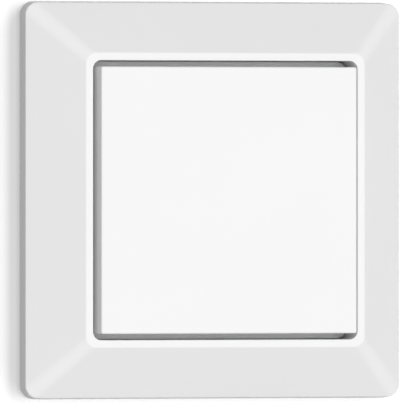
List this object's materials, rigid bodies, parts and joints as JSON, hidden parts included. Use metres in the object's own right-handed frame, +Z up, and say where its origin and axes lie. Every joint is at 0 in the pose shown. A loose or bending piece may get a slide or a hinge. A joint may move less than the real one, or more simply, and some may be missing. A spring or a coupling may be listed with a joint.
{
  "type": "wireless remote wall switch",
  "caption": "Flat square radio wall switch: bevelled cover frame around one large rocker, coin cell transmitter behind it, on a screwed or stuck mounting plate.",
  "frame": {"origin": "centre of the back, on the wall", "axes": "+Y into the wall, +Z up, +X to the right seen from the front; the rocker faces -Y"},
  "size_m": [0.08, 0.0134, 0.08],
  "materials": {
    "cover_plastic": "smooth white, satin gloss",
    "case_plastic": "fine matte, off-white",
    "pad_foam": "white foam tape",
    "zinc_steel": "zinc plated",
    "board_laminate": "green solder resist",
    "cell_steel": "brushed can",
    "spring_steel": "bright spring steel",
    "plunger_plastic": "grey, smooth",
    "chip_plastic": "black moulding compound",
    "light_lens": "clear red lens",
    "tinned_steel": "tinned sheet",
    "bare_wire": "bare copper"
  },
  "bodies": {
    "base": {"mounting_plate": "case_plastic", "adhesive_pads": "pad_foam", "cover_frame": "cover_plastic", "rear_case": "case_plastic", "front_case": "case_plastic", "case_screws": "zinc_steel", "circuit_board": "board_laminate", "coin_cell": "cell_steel", "battery_clip": "spring_steel", "battery_contact": "spring_steel", "snap_dome_top": "spring_steel", "snap_dome_bottom": "spring_steel", "return_spring_top": "spring_steel", "return_spring_bottom": "spring_steel", "pairing_switch": "chip_plastic", "status_led": "light_lens", "radio_shield": "tinned_steel", "radio_chip": "chip_plastic", "controller_chip": "chip_plastic", "crystal": "tinned_steel", "antenna_wire": "bare_wire", "chip_parts": "chip_plastic"},
    "rocker": {"rocker_cap": "cover_plastic", "rocker_carrier": "case_plastic"},
    "plunger_top": {"plunger_top": "plunger_plastic"},
    "plunger_bottom": {"plunger_bottom": "plunger_plastic"},
    "pairing_button": {"pairing_button": "plunger_plastic"}
  },
  "joints": [
    {"name": "rocker_tilt", "type": "hinge", "parent": "base", "child": "rocker", "pos_m": [0, -0.0106, 0], "axis": [1, 0, 0], "range_deg": [-2, 2], "stiffness_Nm_per_rad": 1.6, "deforming": ["return_spring_top", "return_spring_bottom", "snap_dome_top", "snap_dome_bottom"]},
    {"name": "plunger_top_slide", "type": "slide", "parent": "base", "child": "plunger_top", "axis": [0, -1, 0], "range_m": [-0.00065, 0.00065]},
    {"name": "plunger_bottom_slide", "type": "slide", "parent": "base", "child": "plunger_bottom", "axis": [0, -1, 0], "range_m": [-0.00065, 0.00065]},
    {"name": "pairing_press", "type": "slide", "parent": "base", "child": "pairing_button", "axis": [0, 1, 0], "range_m": [0, 0.00025], "stiffness_N_per_m": 400}
  ],
  "couplings": [
    {"joint": "plunger_top_slide", "follows": "rocker_tilt", "m_per_rad": 0.018},
    {"joint": "plunger_bottom_slide", "follows": "rocker_tilt", "m_per_rad": -0.018}
  ]
}
